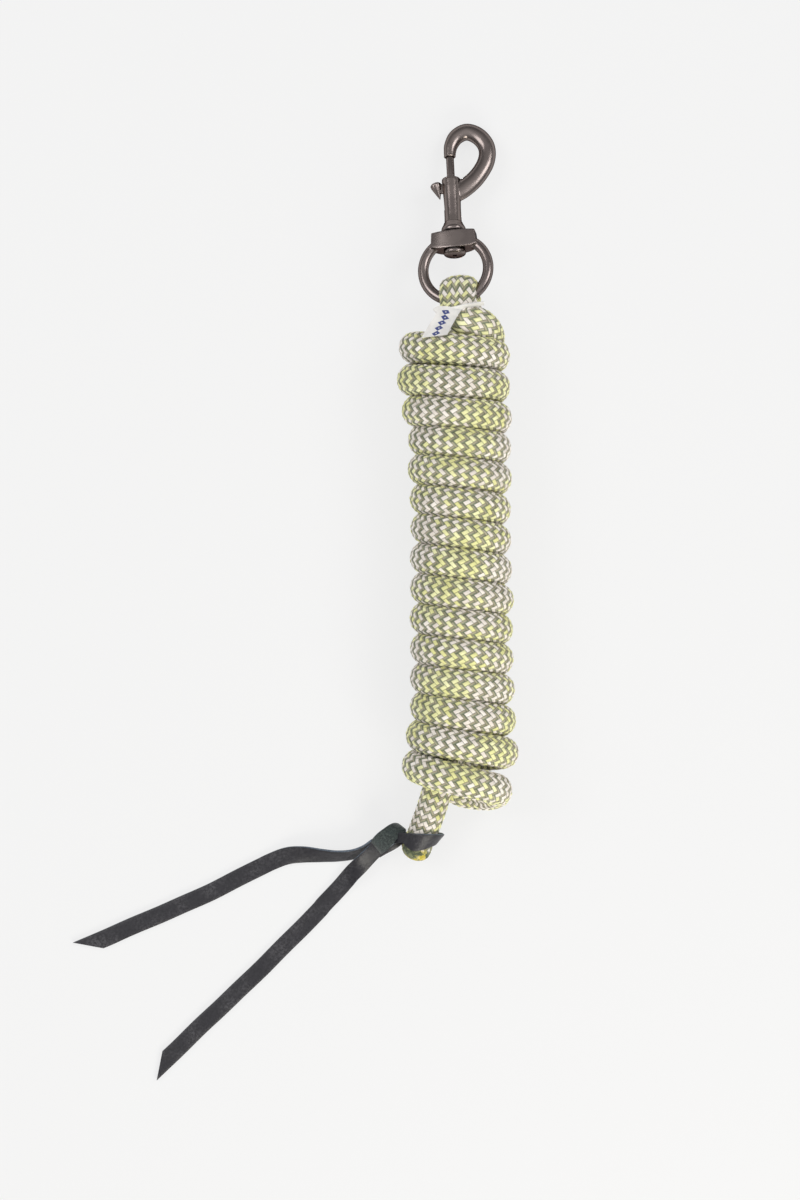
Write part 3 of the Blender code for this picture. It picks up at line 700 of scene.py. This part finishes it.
def loft(name, rings):
    """A closed solid through rings of points; a ring of one point ends it on its axis."""
    bm = bmesh.new()
    verts = [[bm.verts.new(p) for p in ring] for ring in rings]
    count = max(len(ring) for ring in verts)
    for a, b in zip(verts, verts[1:]):
        for k in range(count):
            n = (k + 1) % count
            corners = dict.fromkeys((a[k % len(a)], a[n % len(a)], b[n % len(b)], b[k % len(b)]))
            if len(corners) > 2:
                bm.faces.new(list(corners))
    for ring in (verts[0], verts[-1]):
        if len(ring) > 2:
            bm.faces.new(ring)
    bmesh.ops.recalc_face_normals(bm, faces=bm.faces)
    return mesh_object(name, bm)


def turned(name, profile, steps=96):
    """A solid of revolution about local Z, in millimetres, from a profile of radius and height."""
    angles = [2 * math.pi * k / steps for k in range(steps)]
    return loft(name, [
        [(radius * math.cos(a), radius * math.sin(a), height) for a in (angles if radius > 0 else (0.0,))]
        for radius, height in profile
    ])


def block(name, low, high, bevel=0.0):
    bm = bmesh.new()
    low, high = Vector(low), Vector(high)
    where = Matrix.Translation((low + high) / 2) @ Matrix.Diagonal((*(high - low), 1.0))
    bmesh.ops.create_cube(bm, size=1.0, matrix=where)
    if bevel:
        bmesh.ops.bevel(bm, geom=bm.edges[:], offset=bevel, segments=3, affect="EDGES", profile=0.5)
    return mesh_object(name, bm)


def round_bar(name, rows, sides=40):
    """A bar of changing radius along a line in the local XZ plane; rows are x, z, radius, flatness."""
    line = catmull(rows, 8)
    at = np.stack([line[:, 0], np.zeros(len(line)), line[:, 1]], 1)
    heading = directions(at)
    side = unit(np.cross(heading, [0.0, 1.0, 0.0]))
    angle = 2 * np.pi * np.arange(sides) / sides
    out = np.cos(angle)[None, :, None] * side[:, None]
    deep = np.sin(angle)[None, :, None] * line[:, 3][:, None, None] * np.array([0, 1, 0])
    return loft(name, at[:, None] + (out + deep) * line[:, 2][:, None, None])


def apply(thing):
    """Puts the modifiers into the mesh."""
    bpy.context.view_layer.update()
    mesh = bpy.data.meshes.new_from_object(thing.evaluated_get(bpy.context.evaluated_depsgraph_get()))
    thing.modifiers.clear()
    old, thing.data = thing.data, mesh
    bpy.data.meshes.remove(old)


def combine(thing, other, operation):
    cut = thing.modifiers.new("combine", "BOOLEAN")
    cut.operation, cut.object, cut.solver = operation, other, "EXACT"
    apply(thing)
    bpy.data.objects.remove(other)


def cast(thing, voxel, rounds):
    """Rebuilds the surface on a fine grid and smooths it, as casting rounds every corner."""
    remesh = thing.modifiers.new("grid", "REMESH")
    remesh.mode, remesh.voxel_size, remesh.use_smooth_shade = "VOXEL", voxel, True
    smooth = thing.modifiers.new("soften", "SMOOTH")
    smooth.factor, smooth.iterations = 0.5, rounds
    apply(thing)


def place_metal(thing, where, body, node, material):
    """Scales a piece made in millimetres to metres, puts it in place and ties it to its body."""
    thing.data.transform(where @ Matrix.Scale(MM, 4))
    thing.data.shade_smooth()
    thing.data.materials.clear()
    thing.data.materials.append(material)
    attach(thing, body)
    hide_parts(node)
    return thing


def axes_matrix(origin, x_axis, z_axis):
    z_axis = Vector(z_axis).normalized()
    x_axis = Vector(x_axis)
    x_axis = (x_axis - x_axis.dot(z_axis) * z_axis).normalized()
    turn = Matrix((x_axis, z_axis.cross(x_axis), z_axis)).transposed()
    return Matrix.Translation(Vector(origin)) @ turn.to_4x4()


SNAP_Z = (-0.043726, 0.962928, -0.266192)
SNAP = axes_matrix(PIVOT * MM, (0.99897, 0.04536, 0.0), SNAP_Z)
EYE = axes_matrix(PIVOT * MM, tuple(WIRE), SNAP_Z)
# heights along the barrel's axis, from the pivot in the ring
ROD_TIP, BORE_TOP = 73.2, 59.8
GRID = 0.22  # the cast pieces' grid
SNAP_ROUNDS, EYE_ROUNDS = ((26, 14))  # of smoothing
SHARP_CAST, SHARP_TURNED, SHARP_CUT = math.radians(32), math.radians(40), math.radians(50)
SHANK_HOLE = 2.8  # radius of the bores for the plunger and the rivet


def make_snap_body():
    body = turned("snap_body_cast", [
        (0, 61.0), (3.7, 61.0), (4.2, 60.85), (4.42, 60.4), (4.45, 59.6), (4.4, 56.0), (4.1, 50.0), (3.97, 45.0),
        (3.97, 42.0), (4.05, 40.0), (4.1, 39.0), (4.1, 36.0), (0, 36.0),
    ])
    hook = round_bar("hook", [
        (0.0, 72.1, 2.75, 0.95), (0.05, 73.2, 2.8, 0.95), (0.15, 74.6, 2.92, 0.93), (0.9, 78.0, 3.3, 0.9),
        (3.6, 82.2, 3.8, 0.88), (8.4, 84.4, 4.05, 0.88), (13.4, 82.4, 4.15, 0.88), (16.9, 78.0, 4.1, 0.88),
        (17.8, 73.3, 4.05, 0.86), (16.7, 68.3, 4.1, 0.83), (14.0, 63.6, 4.15, 0.79), (10.8, 59.8, 4.3, 0.72),
        (7.0, 56.6, 4.45, 0.66), (3.4, 53.9, 4.2, 0.66), (0.8, 52.0, 3.4, 0.7),
    ])
    combine(body, hook, "UNION")
    cast(body, GRID, SNAP_ROUNDS)
    lip = turned("lip", [(0, 72.9), (2.5, 72.9), (2.74, 72.7), (2.78, 72.4), (2.74, 72.1), (2.5, 71.9), (0, 71.9)])
    combine(body, lip, "UNION")
    collar = turned("collar", [
        (0, 39.3), (3.7, 39.3), (3.72, 39.1), (3.9, 38.95), (4.2, 38.75), (4.42, 38.35), (4.7, 37.6), (5.1, 36.8),
        (5.5, 36.1), (5.72, 35.5), (5.76, 34.9), (5.68, 34.4), (5.4, 34.0), (4.9, 33.8), (0, 33.8),
    ])
    combine(body, collar, "UNION")
    rod_gap = 2.15
    bore = turned("bore", [
        (0, 62), (rod_gap, 62), (rod_gap, BORE_TOP), (SHANK_HOLE, BORE_TOP), (SHANK_HOLE, 32), (0, 32),
    ])
    recess = ROD_TIP + 0.4
    nose = turned("recess", [(0, recess), (2.1, recess), (2.1, 70.5), (0, 70.5)])
    for hollow in (bore, nose, block("slot", (-6.5, -1.4, 44.9), (-1.0, 1.4, 59.3))):
        combine(body, hollow, "DIFFERENCE")
    place_metal(body, SNAP, "snap", "snap_body", METAL)
    body.data.set_sharp_from_angle(angle=SHARP_CAST)


def make_gate():
    bolt = turned("gate_bolt_rod", [
        (0, ROD_TIP), (1.35, ROD_TIP), (1.68, 73.05), (1.85, 72.6), (1.85, 59.5), (2.4, 59.5), (2.5, 59.4),
        (2.5, 52.3), (2.4, 52.2), (0, 52.2),
    ], 64)
    combine(bolt, block("hole", (-3.0, -1.35, 53.5), (-1.0, 1.35, 58.6)), "DIFFERENCE")
    place_metal(bolt, SNAP, "gate", "gate_bolt", METAL)
    bolt.data.set_sharp_from_angle(angle=SHARP_TURNED)
    # the thumb piece is a small fluted shell, broad at the top and drawn down to a point
    broad, tip = np.array([-7.35, 0.0, 58.0]), np.array([-5.65, 0.0, 50.9])
    axis = unit(tip - broad)
    out = unit(np.array([-1.0, 0.0, 0.0]) - axis * -axis[0])
    cross = np.cross(axis, out)
    flutes, sides, radius, oval = 9, 108, 2.5, 1.3
    stations = [  # how far down its axis, and the share of its radius there
        (-0.75, 0.25), (-0.62, 0.62), (-0.35, 0.88), (0.0, 1.0), (0.6, 1.02), (1.6, 0.93), (3.0, 0.74),
        (4.6, 0.5), (6.2, 0.26), (7.1, 0.13), (7.5, 0.05),
    ]
    rings = []
    for down, share in catmull(stations, 4):
        ring = []
        for k in range(sides):
            angle = 2 * math.pi * k / sides
            flute = 1 + 0.075 * abs(math.cos(angle * flutes / 2)) - 0.05
            r = radius * max(share, 0.02) * flute
            around = math.cos(angle) * out + oval * math.sin(angle) * cross
            ring.append(broad + axis * down + r * around)
        rings.append(ring)
    head = loft("thumb_piece_shell", rings)
    combine(head, block("stem", (-7.0, -1.05, 53.8), (-1.3, 1.05, 58.3), 0.15), "UNION")
    cast(head, 0.11, 2)
    place_metal(head, SNAP, "gate", "thumb_stud", METAL)


def make_spring():
    low, high, turns, per, coil, wire, sides = 40.55, 51.65, 7, 24, 2.05, 0.25, 12
    turn = 2 * np.pi * np.arange(turns * per + 1) / per
    rise = np.linspace(low, high, len(turn))
    line = np.stack([coil * np.cos(turn), coil * np.sin(turn), rise], 1)
    heading = directions(line)
    side = unit(line * np.array([1.0, 1.0, 0.0]))
    side = unit(side - heading * (side * heading).sum(1, keepdims=True))
    up = np.cross(heading, side)
    angle = (2 * np.pi * np.arange(sides) / sides)[None, :, None]
    rings = line[:, None] + wire * (np.cos(angle) * side[:, None] + np.sin(angle) * up[:, None])
    spring = place_metal(loft("gate_spring_coil", rings), SNAP, "snap", "gate_spring", STEEL)
    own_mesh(spring)


def make_rivet():
    rivet = turned("swivel_rivet_turned", [
        (0, 40.0), (2.2, 40.0), (2.5, 39.6), (2.5, 24.5), (4.75, 24.5), (5.1, 24.35), (5.22, 24.0), (5.22, 23.4),
        (5.1, 22.95), (4.7, 22.6), (4.0, 22.4), (0, 22.3),
    ])
    combine(rivet, block("socket", (-0.95, -0.95, 21.0), (0.95, 0.95, 23.3)), "DIFFERENCE")
    place_metal(rivet, SNAP, "snap", "swivel_rivet", METAL)
    rivet.data.set_sharp_from_angle(angle=SHARP_TURNED)


def bridge(name, low, high):
    """The bar across the ring: thickest at its middle, where the rivet goes through."""
    rings = []
    for share in np.linspace(-1, 1, 25):
        thick = 3.3 + 2.0 * (1 - share**2)
        foot = low + 1.5 * abs(share) ** 3
        corners = ((-1, foot, 10.9), (-1, high, 10.3), (1, high, 10.3), (1, foot, 10.9))
        rings.append([(share * wide, side * thick, height) for side, height, wide in corners])
    return loft(name, rings)


def make_eye():
    low, high = 24.8, 33.5
    eye = bridge("swivel_eye_cast", low, high)
    bm = bmesh.new()
    major, minor, n_major, n_minor = 15.4, 2.5, 128, 36
    verts = []
    for p in range(n_major):
        cos_p, sin_p = math.cos(2 * math.pi * p / n_major), math.sin(2 * math.pi * p / n_major)
        for q in range(n_minor):
            turn = 2 * math.pi * q / n_minor
            reach = major + minor * math.cos(turn)
            verts.append(bm.verts.new((reach * cos_p, minor * math.sin(turn), major + reach * sin_p)))
    for p in range(n_major):
        this, after = p * n_minor, (p + 1) % n_major * n_minor
        for q in range(n_minor):
            n = (q + 1) % n_minor
            bm.faces.new((verts[this + q], verts[after + q], verts[after + n], verts[this + n]))
    bmesh.ops.recalc_face_normals(bm, faces=bm.faces)
    combine(eye, mesh_object("ring", bm), "UNION")
    cast(eye, GRID, EYE_ROUNDS)
    combine(eye, turned("hole", [(0, 36), (SHANK_HOLE, 36), (SHANK_HOLE, 22), (0, 22)]), "DIFFERENCE")
    place_metal(eye, EYE, "eye", "swivel_eye", METAL)
    eye.data.set_sharp_from_angle(angle=SHARP_CAST)


METAL = gunmetal()
STEEL = spring_steel()
make_snap_body()
make_gate()
make_spring()
make_rivet()
make_eye()

# ---------------------------------------------------------------- leather

STRAP_WIDE, STRAP_THICK, STRAP_CUP = 8.2, 1.5, 0.12
STRAP_CELLS = 10  # across it
SLANT_LONG = 16.0  # how far from a tip its slant is eased out
GRAIN, FLESH, EDGE = leather_grain(), leather_flesh(), leather_edge()


def slab(top, bottom):
    """A flat strip between two grids of points: its points, its faces and the side that each
    face is on, 0 above, 1 below and 2 at the edges."""
    n, w = top.shape[:2]
    under = n * w
    faces, kind = [], []
    for k in range(n - 1):
        for q in range(w - 1):
            a, d = k * w + q, (k + 1) * w + q
            faces += [(a, d, d + 1, a + 1), (under + a, under + a + 1, under + d + 1, under + d)]
            kind += [0, 1]
        for a, b in ((k * w, (k + 1) * w), ((k + 2) * w - 1, (k + 1) * w - 1)):
            faces.append((a, under + a, under + b, b))
            kind.append(2)
    ends = [(q, q + 1) for q in range(w - 1)] + [(under - w + q + 1, under - w + q) for q in range(w - 1)]
    faces += [(a, under + a, under + b, b) for a, b in ends]
    kind += [2] * len(ends)
    return np.vstack([top.reshape(-1, 3), bottom.reshape(-1, 3)]), faces, kind


def strap(name, rows, per=10, tips=(0.0, 0.0), askew=False):
    """A flat strip along rows of middle point, across direction: grain up, flesh below, cut edges.
    Each row is x, y, z, across x, y, z, and the share of full width. tips slant the two ends.
    An askew strip keeps its rows' directions, and any other is squared to its middle line."""
    rows = catmull(rows, per)
    line, across = rows[:, :3], rows[:, 3:6]
    heading = directions(line)
    across = unit(across) if askew else unit(across - heading * (across * heading).sum(1, keepdims=True))
    up = unit(np.cross(heading, across))
    half = STRAP_WIDE / 2 * rows[:, 6]
    cells = np.linspace(-1, 1, STRAP_CELLS + 1)
    cells = np.sign(cells) * np.abs(cells) ** 0.85
    along = lengths(line)
    ease_start = np.clip(1 - along / SLANT_LONG, 0, 1) ** 1.2
    ease_end = np.clip(1 - (along[-1] - along) / SLANT_LONG, 0, 1) ** 1.2
    wander = 0.12 * np.sin(along / 11.0) + 0.08 * np.sin(along / 4.3 + 1.0)
    reach = np.outer(half, cells) + wander[:, None]
    slide = np.outer(tips[1] * ease_end - tips[0] * ease_start, cells)
    bow = np.outer(np.sin(along / 23.0), -STRAP_CUP * (1 - cells**2))
    middle = line[:, None] + sum(
        share[:, :, None] * axis[:, None] for share, axis in ((reach, across), (slide, heading), (bow, up))
    )
    thick = (STRAP_THICK / 2 * (1 - 0.35 * np.abs(cells) ** 8))[None, :, None] * up[:, None]
    verts, faces, kind = slab(middle + thick, middle - thick)
    verts[:, 2] = np.maximum(verts[:, 2], 0.1)
    made = add_object(name, verts, faces, [GRAIN, FLESH, EDGE])
    made.data.polygons.foreach_set("material_index", kind)
    tidy_normals(made.data)
    made.data.set_sharp_from_angle(angle=SHARP_CUT)
    return made, line


def level(points):
    """Rows for a strip that lies flat, or leans: each point is x, y, z and the lean in degrees."""
    line = np.array([p[:3] for p in points], float)
    heading = directions(line)
    across = unit(np.stack([-heading[:, 1], heading[:, 0], np.zeros(len(line))], 1))
    lean = np.radians([p[3] if len(p) > 3 else 0.0 for p in points])[:, None]
    across = across * np.cos(lean) - np.array([0.0, 0.0, 1.0]) * np.sin(lean)
    return [[*at, *side, 1.0] for at, side in zip(line, across)]


upper, upper_line = strap("popper_tail_upper", level([
    (38.0, -113.6, 4.9, 58), (33.0, -117.0, 4.7, 58), (27.0, -119.2, 4.4, 56), (19.9, -119.9, 4.1, 52),
    (12.4, -119.6, 3.5, 42), (4.6, -119.3, 2.6, 24), (-3.2, -120.1, 1.6, 8),
    (-10.6, -122.7, 1.2), (-18.0, -126.2, 1.1), (-41.2, -137.7, 1.1), (-68.7, -150.0, 1.1), (-98.0, -162.5, 1.1),
]), tips=(0.0, -6.2))
lower, lower_line = strap("popper_tail_lower", level([
    (41.0, -113.6, 5.0, 18), (37.4, -117.4, 6.0, 26), (33.7, -121.3, 6.3, 24), (30.2, -124.9, 5.3, 8),
    (27.1, -128.1, 3.3, -14), (24.2, -131.5, 1.8, -6), (20.4, -135.9, 1.2), (14.0, -143.0, 1.1),
    (7.6, -150.0, 1.1), (-27.0, -184.0, 1.1), (-64.2, -219.6, 1.1),
]), tips=(0.0, 5.8))

BAND_AT = np.array([58.7, -112.2, 9.8])
BAND_AXIS = unit(np.array([-4.33, -12.1, 0.0]))  # along the rope, towards its end
BAND_UP, BAND_SIDE = np.array([0.0, 0.0, 1.0]), np.array([1.0, 0.0, 0.0])  # its edges lie askew on the rope


def band_rows():
    """The strip's middle from the front leg of the knot, over the rope's end, beneath it and back.
    Each row is the middle, the direction across and the share of full width."""
    rows = [
        [39.6, -114.8, 4.4, -0.6, 0.8, -0.1, 1.0],
        [43.4, -112.8, 5.8, -0.45, 0.88, -0.1, 0.85],
        [47.0, -111.2, 8.6, -0.2, 0.97, -0.1, 0.62],
    ]
    for degrees in range(150, -151, -25):
        turn = math.radians(degrees)
        flare = 1.5 + 0.9 * math.cos(turn)  # the upstream edge stands off the rope, most at the right
        share = 1.1 - (0.6 if degrees > 80 else 0.3) * abs(math.cos(turn)) ** 1.5  # narrow at the sides
        out = math.cos(turn) * BAND_SIDE + math.sin(turn) * BAND_UP
        at = BAND_AT + (8.15 + flare * 0.5) * out + BAND_AXIS * STRAP_WIDE / 2 * (share - 1.0)
        at[2] = max(at[2], 0.95)
        rows.append([*at, *unit(out * flare * 0.8 - BAND_AXIS * STRAP_WIDE / 2), share])
    return rows + [
        [50.8, -107.6, 4.4, -0.3, 0.45, -0.8, 0.9],
        [50.0, -106.0, 7.6, -0.6, 0.4, -0.5, 0.8],
        [47.4, -107.2, 10.3, -0.72, 0.68, -0.15, 0.85],
        [44.5, -109.9, 11.2, -0.72, 0.69, 0.0, 1.0],
        [41.8, -112.6, 10.2, -0.74, 0.66, 0.1, 1.08],
        [39.6, -115.0, 7.7, -0.76, 0.64, 0.05, 1.02],
        [38.4, -116.4, 4.4, -0.76, 0.62, -0.1, 0.9],
    ]


knot, _ = strap("popper_band_knot", band_rows(), per=8, askew=True)
tuck, _ = strap("popper_knot_turn", [
    [50.4, -109.8, 3.4, 0.35, -0.9, 0.3, 0.8],
    [47.6, -112.0, 5.4, 0.4, -0.9, -0.15, 0.9],
    [44.4, -113.6, 6.0, 0.5, -0.86, -0.3, 1.0],
    [41.0, -115.4, 4.6, 0.5, -0.86, -0.2, 1.0],
    [38.2, -117.4, 2.9, 0.55, -0.83, 0.0, 0.95],
], per=6)

for piece in (knot, tuck, upper, lower):
    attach(piece, "rope")
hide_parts("popper_strap")

# ---------------------------------------------------------------- label

LABEL_THICK, LABEL_CELLS = 0.5, 24
# the tape's two edges, from the crease at the throat to its free end
LABEL_OUTER = [
    (88.6, 139.0, 40.4), (84.0, 138.5, 41.2), (79.6, 137.7, 41.6), (74.0, 136.5, 42.0), (70.0, 136.7, 42.2),
    (66.9, 136.6, 42.4), (65.0, 135.1, 42.6), (66.2, 133.0, 42.8), (63.4, 128.4, 43.6), (59.7, 122.0, 44.6),
]
LABEL_INNER = [
    (88.6, 137.6, 38.8), (84.2, 137.0, 38.8), (80.6, 136.4, 38.8), (78.4, 135.4, 40.0), (77.6, 134.2, 41.6),
    (76.6, 132.8, 42.2), (75.9, 131.6, 42.4), (75.2, 130.3, 42.7), (73.8, 127.8, 43.6), (71.6, 123.4, 44.6),
]


def make_label():
    outer, inner = catmull(LABEL_OUTER, 14), catmull(LABEL_INNER, 14)
    middle = (outer + inner) / 2
    along = lengths(middle)
    share = np.linspace(0, 1, LABEL_CELLS + 1)
    across = unit(inner - outer)
    up = unit(np.cross(across, directions(middle)))
    up *= np.where((up[:, 2:] < 0), -1.0, 1.0)
    sheet = outer[:, None] * (1 - share)[None, :, None] + inner[:, None] * share[None, :, None]
    ripple = 0.35 * np.sin(along / 5.5)[:, None] * (1 - (2 * share - 1) ** 2)[None, :]
    sheet = sheet + ripple[:, :, None] * up[:, None, :]
    half = up[:, None] * LABEL_THICK / 2
    verts, faces, _ = slab(sheet + half, sheet - half)
    width = np.linalg.norm(inner - outer, axis=1)
    flat_u = ((share[None, :] - 0.5) * width[:, None]).reshape(-1)
    flat_v = np.repeat(along, LABEL_CELLS + 1)
    uv_of = np.stack([np.tile(flat_u, 2), np.tile(flat_v, 2)], 1)
    uv = np.vstack([uv_of[list(f)] for f in faces])
    made = add_object("woven_label_tape", verts, faces, [label_material()], uv, "tape")
    tidy_normals(made.data)
    made.data.set_sharp_from_angle(angle=SHARP_CUT)
    area = (0.5 * (width[1:] + width[:-1]) * np.diff(along)).sum()
    return made, float(along[-1]), float(area)


label, label_long, label_area = make_label()
print("label", round(label_long, 1), round(label_area, 2))
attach(label, "rope")
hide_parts("woven_label")

# ---------------------------------------------------------------- floor


FLOOR_SIZE, FLOOR_GLOW = 8.0, 0.745


def make_floor():
    m = Shading("pale_floor", roughness=0.9, specular=0.1)
    m.shader.inputs["Base Color"].default_value = (*srgb(104, 104, 104), 1.0)
    m.shader.inputs["Emission Color"].default_value = (1.0, 1.0, 1.0, 1.0)
    m.shader.inputs["Emission Strength"].default_value = FLOOR_GLOW
    bm = bmesh.new()
    bmesh.ops.create_grid(bm, x_segments=1, y_segments=1, size=FLOOR_SIZE)
    floor = mesh_object("floor", bm)
    floor.data.materials.append(m.material)


make_floor()
